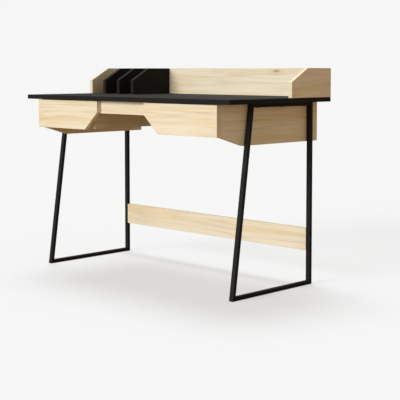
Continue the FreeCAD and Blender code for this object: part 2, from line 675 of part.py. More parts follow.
def make_runners():
    """Outer and inner runner of each drawer, with their cages, balls and screws."""
    cabinet_screws = []
    for word, side in SIDES.items():
        drawer_screws = []
        walls = {"outer": (f"{side} * {SIDE_INNER}", -side), "inner": (f"{side} * {PARTITION_OUTER}", side)}
        for which, (wall, out) in walls.items():
            name = f"{word}_{which}"
            make_member(f"{name}_cabinet_runner", wall, out, cabinet_member_profile(), "0")
            make_member(f"{name}_drawer_runner", wall, out, drawer_member_profile(),
                        "runner_space - gauge")
            make_cage(f"{name}_ball_cage", wall, out)
            make_balls(f"{name}_bearing_balls", wall, out)
            for y in RUNNER_SCREW_Y:
                cabinet_screws.append(runner_screw(f"{wall} + {out} * gauge", -out, y))
                web = f"{wall} + {out} * (runner_space - gauge)"
                drawer_screws.append(runner_screw(web, out, y))
        group(f"{word}_drawer_runner_screws", drawer_screws)
    group("cabinet_runner_screws", cabinet_screws)


# ---------------------------------------------------------------------------
# Side frames and stretcher
# ---------------------------------------------------------------------------

LEAN = f"((frame_front_top - frame_foot) / {UNDERSIDE})"
LEVEL_WIDTH = f"sqrt(1 + {LEAN} * {LEAN})"
STRETCHER_END = "(frame_width / 2 - tube_width)"
STRETCHER_BOLT_Z = [
    f"stretcher_bottom + {size}" for size in ("stretcher_bolt_lower", "stretcher_bolt_upper")
]
MEMBERS = {
    "front_leg": ("front_foot", "front_top"),
    "rear_leg": ("rear_foot", "rear_top"),
    "floor_runner": ("front_foot", "rear_foot"),
    "top_bar": ("front_top", "rear_top"),
}


def frame_corner(corner, inset):
    """A corner of a side frame's outline, moved in by `inset` from its outer edges, as (Y, Z)."""
    low = f"({inset})"
    high = f"({UNDERSIDE} - ({inset}))"
    leaning = f"{FRONT} + frame_foot + ({inset}) * {LEVEL_WIDTH} + {LEAN} * "
    rear = f"{FRONT} + frame_back - ({inset})"
    places = {
        "front_foot": (leaning + low, low),
        "rear_foot": (rear, low),
        "rear_top": (rear, high),
        "front_top": (leaning + high, high),
    }
    return places[corner]


def member_outline(ends, inset, outset):
    """The mitred strip between two corners, from `inset` to `outset` inside the outline."""
    first, last = ends
    return [
        frame_corner(first, inset),
        frame_corner(last, inset),
        frame_corner(last, outset),
        frame_corner(first, outset),
    ]


def make_frames():
    """Two closed frames, each of four hollow tubes mitred and welded at the corners."""
    bolts = [(f"{FRONT} + frame_back - tube_depth / 2", z) for z in STRETCHER_BOLT_Z]
    for word, side in SIDES.items():
        outer = f"{side} * frame_width / 2"
        for member, ends in MEMBERS.items():
            body = new_body(f"{word}_frame_{member}")
            base = pad(body, "YZ", outer, -side, member_outline(ends, "0", "tube_depth"), "tube_width")
            round_edges(body, base, "tube_corner", shortest=value("2 * tube_width"))
            cavity = member_outline(ends, "tube_wall", "tube_depth - tube_wall")
            start = f"{side} * (frame_width / 2 - tube_wall)"
            slot(body, "YZ", start, -side, cavity, "tube_width - 2 * tube_wall")
            if member == "top_bar":
                places = [(f"{side} * (frame_width - tube_width) / 2", y) for y in FRAME_SCREW_Y]
                start = f"{UNDERSIDE} - tube_depth"
                drill(body, "XY", start, 1, places, "frame_screw_clearance", "tube_depth")
            if member == "rear_leg":
                drill(body, "YZ", outer, -side, bolts, "stretcher_bolt", "tube_width")
                drill(body, "YZ", outer, -side, bolts, "stretcher_bolt_head", "tube_wall")
    pieces = []
    for x, y in frame_screws:
        low = f"{UNDERSIDE} - tube_depth"
        head = rod((x, y, f"{low} - frame_screw_head_height"), "Z", "frame_screw_head",
                   "frame_screw_head_height")
        shank = rod((x, y, low), "Z", "frame_screw", "tube_depth + dowel_in_face")
        pieces.append(headed(head, shank))
    group("frame_screws", pieces)


def make_stretcher():
    """Wooden board between the rear legs, flush with their front faces, on two bolts at each end."""
    face = f"{FRONT} + frame_back - tube_depth"
    top = "stretcher_bottom + stretcher_height"
    outline = rectangle(f"-{STRETCHER_END}", STRETCHER_END, "stretcher_bottom", top)
    body = make_board("stretcher", "XZ", face, 1, outline)
    places = [(f"{face} + tube_depth / 2", z) for z in STRETCHER_BOLT_Z]
    pieces = []
    for side in SIDES.values():
        end = f"{side} * {STRETCHER_END}"
        drill(body, "YZ", end, -side, places, "stretcher_bolt", "stretcher_bolt_depth")
        inner = f"{end} - {side} * stretcher_bolt_depth"
        outer = f"{side} * frame_width / 2"
        for y, z in places:
            low_x = inner if side > 0 else outer
            shank = rod((low_x, y, z), "X", "stretcher_bolt", "stretcher_bolt_depth + tube_width")
            head_x = f"{outer} - tube_wall" if side > 0 else outer
            head = rod((head_x, y, z), "X", "stretcher_bolt_head", "tube_wall")
            pieces.append(headed(head, shank))
    group("stretcher_bolts", pieces)


# ---------------------------------------------------------------------------
# Build, check and write
# ---------------------------------------------------------------------------

def check_document():
    """Stops if a feature failed, a cut removed nothing or a node isn't sound."""
    for item in doc.Objects:
        if "Invalid" in item.State or "Error" in item.State:
            raise RuntimeError(f"{item.Name} failed: {item.State}")
        if item.TypeId == "PartDesign::Pocket" and item.Shape.Volume >= item.BaseFeature.Shape.Volume - 0.01:
            raise RuntimeError(f"{item.Name} cuts nothing")
    for node in nodes:
        if node.Shape.isNull() or not node.Shape.isValid() or not node.Shape.Solids:
            raise RuntimeError(f"{node.Label} has no sound shape")


def write_nodes():
    """Writes each node's shape to its own file and prints its volume."""
    os.makedirs("parts", exist_ok=True)
    for node in nodes:
        node.Shape.exportStep(f"parts/{node.Label}.step")
        print(f"{node.Label:34s} {len(node.Shape.Solids):3d} solids {node.Shape.Volume / 1000:10.2f} cm3")
    print(len(nodes), "nodes")


make_desktop()
make_gallery()
make_side_panels()
make_partitions()
make_front_rail()
make_back_panel()
make_cabinet_dowels()
for drawer_word, drawer_side in SIDES.items():
    make_drawer_front(drawer_word, drawer_side)
    make_drawer_side(drawer_word, drawer_side, "outer")
    make_drawer_side(drawer_word, drawer_side, "inner")
    make_drawer_back(drawer_word, drawer_side)
    make_drawer_bottom(drawer_word, drawer_side)
    make_drawer_pins(drawer_word, drawer_side)
make_runners()
make_frames()
make_stretcher()
doc.recompute()
check_document()
write_nodes()
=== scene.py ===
# %% [markdown]
# # A writing desk with two drawers
# The desk is a black top on two closed steel side frames, with a light wooden gallery and letter
# slots on it and a slim wooden cabinet with two drawers under it. Its boards, tubes and runners
# were designed in CAD. Here they get their looks: rounded edges, grain, paint, light and a camera.
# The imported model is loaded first, because every piece takes its place from it. Everything is in
# metres.

# %% Load the frame
import math

import bpy
import numpy as np
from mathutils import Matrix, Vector


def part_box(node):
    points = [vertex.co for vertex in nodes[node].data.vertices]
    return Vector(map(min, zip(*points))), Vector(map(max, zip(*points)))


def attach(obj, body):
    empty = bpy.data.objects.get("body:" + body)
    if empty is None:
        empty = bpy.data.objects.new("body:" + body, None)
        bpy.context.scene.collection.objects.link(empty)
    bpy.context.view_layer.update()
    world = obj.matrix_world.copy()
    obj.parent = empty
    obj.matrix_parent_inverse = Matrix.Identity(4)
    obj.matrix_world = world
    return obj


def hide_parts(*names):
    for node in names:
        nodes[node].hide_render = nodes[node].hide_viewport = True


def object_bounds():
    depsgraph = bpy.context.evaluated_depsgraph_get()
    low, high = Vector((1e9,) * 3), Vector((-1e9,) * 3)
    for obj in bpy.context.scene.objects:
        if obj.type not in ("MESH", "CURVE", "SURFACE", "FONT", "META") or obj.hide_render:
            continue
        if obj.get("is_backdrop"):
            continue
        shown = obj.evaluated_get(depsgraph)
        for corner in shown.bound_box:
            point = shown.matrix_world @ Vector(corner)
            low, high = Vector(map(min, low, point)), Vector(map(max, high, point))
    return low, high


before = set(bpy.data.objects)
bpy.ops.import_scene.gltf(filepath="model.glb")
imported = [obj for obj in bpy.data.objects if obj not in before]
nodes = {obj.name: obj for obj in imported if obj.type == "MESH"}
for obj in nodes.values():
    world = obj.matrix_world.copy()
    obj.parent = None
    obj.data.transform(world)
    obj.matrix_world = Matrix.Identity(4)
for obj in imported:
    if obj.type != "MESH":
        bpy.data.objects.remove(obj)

cad_low, cad_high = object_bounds()
print("CAD box", [round(v, 4) for v in cad_low], [round(v, 4) for v in cad_high], len(nodes), "nodes")

# %% [markdown]
# ## The shape that every board and frame shares
# A sawn board never has a knife-sharp edge: the edging is scraped to a tiny round, the arris, and
# that round catches a line of light. A cube with a Bevel modifier could do it, but a surface of two
# parameters is closer to how the board is made: one parameter walks round the outline, the other
# goes across the edge, from one face over the arris, down the edge and over the second arris.
# The same walk with a closed profile gives the welded tube frames, so one function serves both.

# %% A profile carried around an outline
CORNER_STEPS = 4
SHARPEST = 0.00012  # metres, the radius left where the profile lies deep inside a corner


def carry_around(outline, inset, depth, tilt, corner):
    """Points and normals of a profile carried around a convex outline.

    At each corner K the two edges have outward normals a and b, and m = -(a + b) / (1 + a.b) is the
    step that moves the corner in by one unit from both. A profile point with inset d gets the
    corner radius r = max(corner - d, sharpest), and lies at K + (d + r) m + r n, where n turns from
    a to b. Its third coordinate is its depth. Its normal is cos(tilt) n + sin(tilt) w, with w
    pointing out of the front face.
    """
    corners = np.asarray(outline, float)
    x, y = corners.T
    if np.sum(x * np.roll(y, -1) - np.roll(x, -1) * y) < 0:
        corners = corners[::-1]
    edge = np.roll(corners, -1, 0) - corners
    edge /= np.linalg.norm(edge, axis=1)[:, None]
    after = np.stack([edge[:, 1], -edge[:, 0]], 1)
    before = np.roll(after, 1, 0)
    mitre = -(before + after) / (1 + np.sum(before * after, 1))[:, None]
    start = np.arctan2(before[:, 1], before[:, 0])
    turn = (np.arctan2(after[:, 1], after[:, 0]) - start) % (2 * np.pi)
    angle = (start[:, None] + turn[:, None] * np.linspace(0, 1, CORNER_STEPS + 1)).ravel()
    around = np.stack([np.cos(angle), np.sin(angle)], 1)[:, None, :]
    repeat = np.repeat(np.arange(len(corners)), CORNER_STEPS + 1)
    radius = np.maximum(corner - inset, SHARPEST)[None, :, None]
    step = (inset[None, :, None] + radius) * mitre[repeat][:, None, :]
    flat = corners[repeat][:, None, :] + step + radius * around
    points = np.concatenate([flat, np.broadcast_to(depth[None, :, None], flat[..., :1].shape)], 2)
    out = np.cos(tilt)[None, :, None] * np.broadcast_to(around, flat.shape)
    up = np.broadcast_to(np.sin(tilt)[None, :, None], flat[..., :1].shape)
    return points, np.concatenate([out, up], 2)


# %% [markdown]
# ## From the drawing plane to the room
# A board is drawn flat and then stood in its place. There are three ways a board can lie in this
# desk: across it with its front towards the sitter, on edge along its depth, or level. Each way
# only swaps coordinates, so no object needs a rotation, and every piece keeps its place in its mesh.

# %% Standing a flat drawing in its plane
def stand(plane, face, points):
    """Flat coordinates (u, v, depth) as room coordinates, for a front face at `face` on its axis."""
    u, v, depth = points[..., 0], points[..., 1], points[..., 2]
    places = {"XZ": (u, face + depth, v), "YZ": (face - depth, u, v), "XY": (u, v, face - depth)}
    return np.stack(places[plane], -1)


def turn_normals(plane, normals):
    """The same swap for directions, whose third part points out of the front face."""
    u, v, w = normals[..., 0], normals[..., 1], normals[..., 2]
    return np.stack({"XZ": (u, -w, v), "YZ": (w, u, v), "XY": (u, v, w)}[plane], -1)


# %% [markdown]
# ## Turning a grid into a mesh
# The grid closes on itself around the outline. Across, a board's grid ends in two flat faces, and
# a tube's grid closes again. The normals come from the formula, so a flat face stays flat up to
# its arris. The UV map is in metres, along and across the grain, so that a figure in the wood has
# its real size on every board, and each board takes its own stretch of veneer. The attribute
# "arris" is highest in the middle of a rounded edge, and paint and wood wear there.

# %% Grid to mesh
def make_mesh(name, points, arris, uv_wall, uv_cap=None):
    """Quads between neighbours of a closed grid, and two flat faces if uv_cap is given.

    Point (i, j) has the number i * columns + j, and a quad joins (i, j), (i, j + 1), (i + 1, j + 1)
    and (i + 1, j). Rows close on themselves; columns do so only where there are no flat faces.
    """
    rows, columns = points.shape[:2]
    i = np.arange(rows)[:, None]
    j = np.arange(columns if uv_cap is None else columns - 1)[None, :]
    i_next, j_next = (i + 1) % rows, (j + 1) % columns
    ring = np.stack(np.broadcast_arrays(
        i * columns + j, i * columns + j_next, i_next * columns + j_next, i_next * columns + j), -1)
    faces = ring.reshape(-1, 4).tolist()
    steps = np.stack(np.broadcast_arrays(i, i, i + 1, i + 1), -1)
    across = np.stack(np.broadcast_arrays(j, j + 1, j + 1, j), -1)
    steps, across = np.broadcast_arrays(steps, across)
    uv = [uv_wall(steps, across).reshape(-1, 2)]
    if uv_cap is not None:
        front = np.arange(rows) * columns
        back = front[::-1] + columns - 1
        faces += [front.tolist(), back.tolist()]
        uv += [uv_cap(points.reshape(-1, 3)[front], 0), uv_cap(points.reshape(-1, 3)[back], 1)]
    mesh = bpy.data.meshes.new(name)
    mesh.from_pydata(points.reshape(-1, 3).tolist(), [], faces)
    uv = np.concatenate(uv).astype(np.float32).ravel()
    mesh.uv_layers.new(name="grain").data.foreach_set("uv", uv)
    wear = np.broadcast_to(arris, (rows, columns)).astype(np.float32).ravel()
    mesh.attributes.new("arris", "FLOAT", "POINT").data.foreach_set("value", wear)
    return mesh


# %% Placing a piece
def finish_piece(mesh, plane, face, normals, material, body, replaced):
    """Stands the mesh in the room, gives it its normals, material and body, and hides the CAD nodes it
    replaces.
    """
    flat = np.zeros(len(mesh.vertices) * 3, np.float32)
    mesh.vertices.foreach_get("co", flat)
    room = stand(plane, face, flat.reshape(-1, 3).astype(float))
    mesh.vertices.foreach_set("co", room.astype(np.float32).ravel())
    mesh.shade_smooth()
    mesh.normals_split_custom_set_from_vertices(turn_normals(plane, normals).reshape(-1, 3).tolist())
    mesh.materials.append(material)
    mesh.update()
    piece = bpy.data.objects.new(mesh.name, mesh)
    bpy.context.scene.collection.objects.link(piece)
    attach(piece, body)
    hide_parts(*replaced)
    return piece


# %% [markdown]
# ## Shader nodes in few words
# The finishes below are built from shader nodes. Drawn in the node editor they would be a web of
# wires, so small helpers keep them readable as text: they add a node and fill its sockets, do
# arithmetic on sockets or numbers, make noise, map a range smoothly and mix two colours.

# %% Node helpers
def new_finish(name):
    """An empty material and its node tree, with a Principled shader on its output."""
    finish = bpy.data.materials.new(name)
    finish.use_nodes = True
    tree = finish.node_tree
    tree.nodes.clear()
    shader = tree.nodes.new("ShaderNodeBsdfPrincipled")
    out = tree.nodes.new("ShaderNodeOutputMaterial")
    tree.links.new(shader.outputs["BSDF"], out.inputs["Surface"])
    return finish, tree, shader


def put(tree, socket, value):
    """Links a socket to another, or sets its value."""
    if isinstance(value, bpy.types.NodeSocket):
        tree.links.new(value, socket)
    else:
        socket.default_value = value


def add(tree, kind, inputs, **settings):
    """One new node of a kind, with its settings and its inputs by name or number."""
    made = tree.nodes.new("ShaderNode" + kind)
    for setting, value in settings.items():
        setattr(made, setting, value)
    for socket, value in inputs.items():
        put(tree, made.inputs[socket], value)
    return made


def maths(tree, operation, *values):
    """A Math node's result: ADD, MULTIPLY and so on, applied to sockets or numbers."""
    return add(tree, "Math", dict(enumerate(values)), operation=operation).outputs[0]


# %% Pattern helpers
def noise(tree, vector, scale, detail=3.0, roughness=0.5):
    """Noise on coordinates stretched by a scale of three factors, in lumps per metre."""
    stretched = add(tree, "Mapping", {"Vector": vector, "Scale": scale}).outputs[0]
    made = add(tree, "TexNoise", {"Vector": stretched, "Scale": 1.0, "Detail": detail,
                                  "Roughness": roughness})
    return made.outputs["Fac"]


def between(tree, value, low, high, to_low=0.0, to_high=1.0):
    """A value's place between two limits, smoothly, as another pair of limits."""
    return add(tree, "MapRange", {"Value": value, "From Min": low, "From Max": high,
                                  "To Min": to_low, "To Max": to_high},
               interpolation_type="SMOOTHSTEP").outputs["Result"]


def blend_colours(tree, factor, first, second):
    """The first colour where the factor is 0, the second where it is 1, and a mix in between."""
    made = add(tree, "Mix", {}, data_type="RGBA")
    for socket, value in ((made.inputs[0], factor), (made.inputs[6], first), (made.inputs[7], second)):
        put(tree, socket, value)
    return made.outputs[2]


# %% [markdown]
# ## Light oak
# The wooden boards are chipboard under a light oak laminate. What the eye reads is, from large to
# small: patches of growth rings drawn out into long flames, golden bands on a pale ground, fine
# streaks, short dark pores and a few knots. An image could show one plank, but nodes give each
# board its own stretch. The rings are a saw-tooth of the distance across the grain, bent by
# stretched noise, so each ring starts soft and ends in a firm line, as late wood does. A knot
# bends the rings around it.

# %% Oak figure
RING_WIDTH = 0.022  # metres across the grain
RING_BEND = 9.0  # the most ring widths by which the noise shifts the rings
KNOT_BEND = 1.6  # the same for a knot
KNOT_CHANCE = 0.34  # share of the Voronoi cells that hold a knot
KNOT_CELLS = (3.6, 13.0, 1)  # cells per metre along and across the grain
PATCH_LUMPS = (0.8, 5.0, 1)  # the same for noise: where rings show at all
BEND_LUMPS = (1.0, 6.0, 1)
BAND_LUMPS = (1.7, 24.0, 1)
STREAK_LUMPS = (3.2, 85.0, 1)
FIBRE_LUMPS = (30.0, 1400.0, 1)
PORE_LUMPS = (55.0, 1900.0, 1)
OAK_LIGHT = (0.755, 0.695, 0.552, 1)
OAK_GOLD = (0.705, 0.595, 0.375, 1)
OAK_DARK = (0.560, 0.425, 0.235, 1)
OAK_PORE = (0.430, 0.320, 0.190, 1)
OAK_KNOT = (0.330, 0.205, 0.105, 1)
OAK_RUBBED = (0.80, 0.70, 0.54, 1)


def oak_figure(tree, vector):
    """Colour, height and streaks of light oak from coordinates along and across the grain.

    The rings' phase is across / width + bend * noise + knot bend * nearness to a knot. Its
    fractional part f rises as f squared and falls off past 0.88, which makes the saw-tooth.
    """
    cells = add(tree, "Mapping", {"Vector": vector, "Scale": KNOT_CELLS}).outputs[0]
    knots = add(tree, "TexVoronoi", {"Vector": cells, "Scale": 1.0, "Randomness": 1.0})
    chosen = add(tree, "SeparateColor", {"Color": knots.outputs["Color"]}).outputs[0]
    chosen = maths(tree, "GREATER_THAN", chosen, 1 - KNOT_CHANCE)
    near = maths(tree, "MULTIPLY", between(tree, knots.outputs["Distance"], 0.02, 0.30, 1, 0), chosen)
    heart = maths(tree, "MULTIPLY", between(tree, knots.outputs["Distance"], 0.03, 0.09, 1, 0), chosen)
    across = add(tree, "SeparateXYZ", {"Vector": vector}).outputs[1]
    bend = noise(tree, vector, BEND_LUMPS, 2.0)
    phase = maths(tree, "DIVIDE", across, RING_WIDTH)
    phase = maths(tree, "MULTIPLY_ADD", bend, RING_BEND, phase)
    phase = maths(tree, "MULTIPLY_ADD", near, KNOT_BEND, phase)
    saw = maths(tree, "FRACT", phase)
    ring = maths(tree, "MULTIPLY", maths(tree, "POWER", saw, 2.0), between(tree, saw, 0.88, 1.0, 1, 0))
    patch = between(tree, noise(tree, vector, PATCH_LUMPS, 2.0), 0.40, 0.65)
    ring = maths(tree, "MULTIPLY", ring, patch)
    band = between(tree, noise(tree, vector, BAND_LUMPS, 3.0, 0.6), 0.42, 0.66)
    streak = noise(tree, vector, STREAK_LUMPS, 3.0, 0.6)
    fibre = noise(tree, vector, FIBRE_LUMPS, 2.0)
    pore = between(tree, noise(tree, vector, PORE_LUMPS, 1.0), 0.62, 0.72)
    dark = maths(tree, "MULTIPLY_ADD", ring, 0.40, between(tree, streak, 0.46, 0.74, 0, 0.50))
    colour = blend_colours(tree, maths(tree, "MULTIPLY", band, 0.80), OAK_LIGHT, OAK_GOLD)
    colour = blend_colours(tree, maths(tree, "MINIMUM", dark, 1.0), colour, OAK_DARK)
    colour = blend_colours(tree, maths(tree, "MULTIPLY", pore, 0.30), colour, OAK_PORE)
    colour = blend_colours(tree, maths(tree, "MULTIPLY", near, 0.20), colour, OAK_KNOT)
    colour = blend_colours(tree, maths(tree, "MULTIPLY", heart, 0.75), colour, OAK_KNOT)
    height = maths(tree, "MULTIPLY_ADD", pore, -0.8, maths(tree, "MULTIPLY", fibre, 0.5))
    return colour, height, streak


# %% [markdown]
# The oak's edges have the same decor on a thin edging strip. Its glue line and the rubbed arris
# show as a slightly deeper line with lighter rubbed spots, which the "arris" attribute places.
# The colour, the roughness and a shallow bump all come from the same figure.

# %% Oak finish
def make_oak(name):
    """Light oak laminate on the boards' own UV map, rubbed along the arrises."""
    finish, tree, shader = new_finish(name)
    vector = add(tree, "UVMap", {}, uv_map="grain").outputs[0]
    colour, height, streak = oak_figure(tree, vector)
    arris = add(tree, "Attribute", {}, attribute_name="arris").outputs["Fac"]
    place = add(tree, "TexCoord", {}).outputs["Object"]
    rub = between(tree, noise(tree, place, (45.0, 45.0, 45.0), 3.0), 0.45, 0.65)
    line = maths(tree, "MULTIPLY", arris, 0.30)
    colour = blend_colours(tree, line, colour, OAK_DARK)
    rubbed = maths(tree, "MULTIPLY", maths(tree, "MULTIPLY", arris, rub), 0.35)
    colour = blend_colours(tree, rubbed, colour, OAK_RUBBED)
    put(tree, shader.inputs["Base Color"], colour)
    put(tree, shader.inputs["Roughness"], between(tree, streak, 0.2, 0.8, 0.44, 0.56))
    shader.inputs["Specular IOR Level"].default_value = 0.35
    bump = add(tree, "Bump", {"Height": height, "Strength": 0.35, "Distance": 0.00012})
    put(tree, shader.inputs["Normal"], bump.outputs["Normal"])
    return finish


oak = make_oak("light_oak")
print("oak nodes", len(oak.node_tree.nodes))

# %% [markdown]
# ## Black laminate and black paint
# The top and the dividers are black laminate with a fine pebbled skin, so a low view along the top
# shows a grey sheen and no mirror image. The frames are powder coated: the powder melts into a soft
# orange-peel skin with tiny specks. Both wear to a dull grey along their arrises. Noise at two sizes
# gives each its skin, once for the bump and once for a slight change of gloss.

# %% Black finishes
GLOSS_PATCHES = (14.0, 14.0, 14.0)  # lumps per metre
RUB_SPOTS = (60.0, 60.0, 60.0)
LIGHTER_PATCH = 1.7  # the patches' lighter tone, as a multiple of the base


def make_black(name, base, worn, grain_size, roughness, bump_strength, sheen_level):
    """A black skin: pebbles of about `grain_size` metres, patches of gloss, worn arrises."""
    finish, tree, shader = new_finish(name)
    place = add(tree, "TexCoord", {}).outputs["Object"]
    pebbles = noise(tree, place, (1 / grain_size,) * 3, 2.0, 0.6)
    patches = noise(tree, place, GLOSS_PATCHES, 4.0)
    specks = between(tree, noise(tree, place, (0.45 / grain_size,) * 3, 1.0), 0.66, 0.74)
    arris = add(tree, "Attribute", {}, attribute_name="arris").outputs["Fac"]
    rub = between(tree, noise(tree, place, RUB_SPOTS, 3.0), 0.35, 0.7, 0.25, 1.0)
    wear = maths(tree, "MULTIPLY", arris, rub)
    lighter = tuple(LIGHTER_PATCH * c for c in base[:3]) + (1,)
    colour = blend_colours(tree, maths(tree, "MULTIPLY", patches, 0.6), base, lighter)
    colour = blend_colours(tree, maths(tree, "MULTIPLY", specks, 0.25), colour, worn)
    colour = blend_colours(tree, wear, colour, worn)
    put(tree, shader.inputs["Base Color"], colour)
    low, high = roughness
    gloss = between(tree, patches, 0.3, 0.7, low, high)
    put(tree, shader.inputs["Roughness"], gloss)
    shader.inputs["Specular IOR Level"].default_value = sheen_level
    bump = add(tree, "Bump", {"Height": pebbles, "Strength": bump_strength, "Distance": 0.0002})
    put(tree, shader.inputs["Normal"], bump.outputs["Normal"])
    return finish


black_laminate = make_black(
    "black_laminate", base=(0.0055, 0.0055, 0.0055, 1), worn=(0.011, 0.011, 0.011, 1),
    grain_size=0.0011, roughness=(0.68, 0.78), bump_strength=0.55, sheen_level=0.20)
powder_coat = make_black(
    "black_powder_coat", base=(0.006, 0.006, 0.006, 1), worn=(0.016, 0.016, 0.016, 1),
    grain_size=0.0018, roughness=(0.58, 0.70), bump_strength=0.40, sheen_level=0.20)
print("black finishes", black_laminate.name, powder_coat.name)

# %% [markdown]
# ## One board
# A board needs its outline and its thickness. The profile starts a little inside the front face,
# goes over the arris in a quarter circle, along the edge, over the second arris and a little onto
# the back face. A narrow strip of support on each side keeps the worn line narrow, because the
# attribute fades to nothing there. The grain always runs along the first of the two coordinates
# that the board is drawn in, which is the longer way on every board of this desk.

# %% Profile across a board's edge
ARRIS = 0.0008  # metres, radius along the edges
PLAN_CORNER = 0.0013  # radius at the outline's corners
SUPPORT = 0.0016
ARRIS_STEPS = 4
ARRIS_WEAR = 0.35  # wear where the arris meets a face; in its middle it is 1


def board_profile(thickness):
    """Inset, depth, tilt and wear across a board's edge, as four arrays of equal length."""
    turn = np.linspace(np.pi / 2, 0, ARRIS_STEPS + 1)
    inset = ARRIS * (1 - np.cos(turn))
    depth = ARRIS * (1 - np.sin(turn))
    worn = ARRIS_WEAR + (1 - ARRIS_WEAR) * np.sin(2 * turn)
    inset = np.concatenate([[ARRIS + SUPPORT], inset, [0.0]])
    depth = np.concatenate([[0.0], depth, [ARRIS + SUPPORT]])
    tilt = np.concatenate([[np.pi / 2], turn, [0.0]])
    worn = np.concatenate([[0.0], worn, [0.0]])
    return (np.concatenate([inset, inset[::-1]]), np.concatenate([depth, thickness - depth[::-1]]),
            np.concatenate([tilt, -tilt[::-1]]), np.concatenate([worn, worn[::-1]]))


# %% Making a board
VENEER_STEP = np.array([1.37, 0.83])  # metres of figure from one board's stretch to the next's
EDGING_START = (0.4, 0.37)  # from a board's front face to the figure on its edging
BACK_SHIFT = np.array([0.61, 0.29])  # and to the figure on its back face
boards_made = []


def make_board(node, plane, finish, body="desk", outline=None):
    """A rounded board in place of a CAD node, in its box or with an outline of its own.

    The edge's UV is the length walked round the outline and the length down the profile, and a
    flat face's UV is its own two coordinates, so a metre of board is a metre of figure on both.
    """
    low, high = (np.array(corner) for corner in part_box(node))
    u, v, w = {"XZ": (0, 2, 1), "YZ": (1, 2, 0), "XY": (0, 1, 2)}[plane]
    if outline is None:
        outline = [(low[u], low[v]), (high[u], low[v]), (high[u], high[v]), (low[u], high[v])]
    inset, depth, tilt, worn = board_profile(high[w] - low[w])
    points, normals = carry_around(outline, inset, depth, tilt, PLAN_CORNER)
    offset = VENEER_STEP * len(boards_made)
    rim = points[:, len(inset) // 2, :2]
    gaps = np.linalg.norm(np.diff(rim, axis=0, append=rim[:1]), axis=1)
    walked = np.concatenate([[0], np.cumsum(gaps)])
    down = np.concatenate([[0], np.cumsum(np.hypot(np.diff(inset), np.diff(depth)))])

    def wall(i, j):
        return np.stack([walked[i], down[j]], -1) + offset + EDGING_START

    def cap(ring, side):
        return ring[:, :2] + offset + BACK_SHIFT * side

    mesh = make_mesh(node + "_board", points, worn, wall, cap)
    face = low[w] if plane == "XZ" else high[w]  # towards the sitter, the right or the top
    boards_made.append(finish_piece(mesh, plane, face, normals, finish, body, [node]))


# %% [markdown]
# ## Desktop and gallery
# The top is one black board. On it stand two end panels and three dividers with the same side
# view: a short upright nose and a slope up to the back. The back panel closes the gallery.
# The outline is drawn once and used five times, and the grain of the end panels runs front to back.

# %% Desktop and gallery
GALLERY_NOSE = 0.061  # height of the upright nose
GALLERY_SLOPE = 0.096  # how far back the slope runs


def gallery_outline(node):
    """Side view of an end panel or divider: upright nose, slope, level top."""
    low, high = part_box(node)
    return [(low.y, low.z), (high.y, low.z), (high.y, high.z),
            (low.y + GALLERY_SLOPE, high.z), (low.y, low.z + GALLERY_NOSE)]


make_board("desktop", "XY", black_laminate)
for end in ("gallery_left_end", "gallery_right_end"):
    make_board(end, "YZ", oak, outline=gallery_outline(end))
make_board("gallery_back_panel", "XZ", oak)
for number in (1, 2, 3):
    divider = f"letter_divider_{number}"
    make_board(divider, "YZ", black_laminate, outline=gallery_outline(divider))
print("boards so far", len(boards_made))

# %% [markdown]
# ## Cabinet
# The two outer panels have a lower edge that slopes up to the drawer fronts. The partitions, the
# fixed rail across their front edges and the back panel are plain rectangles, so their boxes say
# it all, and so is the stretcher, the board low down between the rear legs.

# %% Cabinet
SIDE_FRONT_HEIGHT = 0.1205  # height of a side panel at its front edge
SIDE_SLOPE = 0.123  # how far back its sloping lower edge runs

for word in ("left", "right"):
    panel = f"{word}_side_panel"
    low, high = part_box(panel)
    outline = [(low.y + SIDE_SLOPE, low.z), (high.y, low.z), (high.y, high.z),
               (low.y, high.z), (low.y, high.z - SIDE_FRONT_HEIGHT)]
    make_board(panel, "YZ", oak, outline=outline)
    make_board(f"{word}_partition", "YZ", oak)
make_board("front_rail", "XZ", oak)
make_board("cabinet_back_panel", "XZ", oak)
make_board("stretcher", "XZ", oak)
print("boards so far", len(boards_made))

# %% [markdown]
# ## Drawer fronts
# A drawer front has no handle: its inner lower corner is cut off on the slant, and fingers reach
# behind that edge. Both fronts are the same board, so one outline is drawn from the outer end
# towards the middle, and a sign turns it into the left or the right front.

# %% Drawer fronts
FRONT_UPRIGHT = 0.046  # height of the upright inner edge, above the slant
FRONT_SLANT = 0.079  # sideways run of the slant

for word, side in (("left", -1), ("right", 1)):
    front = f"{word}_drawer_front"
    low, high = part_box(front)
    outer, inner = (low.x, high.x) if side < 0 else (high.x, low.x)
    outline = [(outer, high.z), (inner, high.z), (inner, high.z - FRONT_UPRIGHT),
               (inner + side * FRONT_SLANT, low.z), (outer, low.z)]
    make_board(front, "XZ", oak, body=f"{word}_drawer", outline=outline)
print("boards in all", len(boards_made))

# %% [markdown]
# ## Side frames
# Each side frame is four steel tubes, mitred and welded into a closed loop and ground flush, so
# after painting it looks like one bent line. Here it is one surface too: a rounded rectangle
# carried around the frame's outline. The front leg leans back, which the outline's corners say.

# %% Side frames
FRAME_FOOT = 0.070  # from the desktop's front edge back to the front foot
FRAME_FRONT_TOP = 0.173  # the same to the top of the leaning leg
FRAME_BACK = 0.535  # the same to the back of the rear leg
TUBE_DEPTH = 0.015
TUBE_CORNER = 0.002
TUBE_STEPS = 5
TUBE_WEAR = 0.6  # wear in the middle of a tube's rounded corner


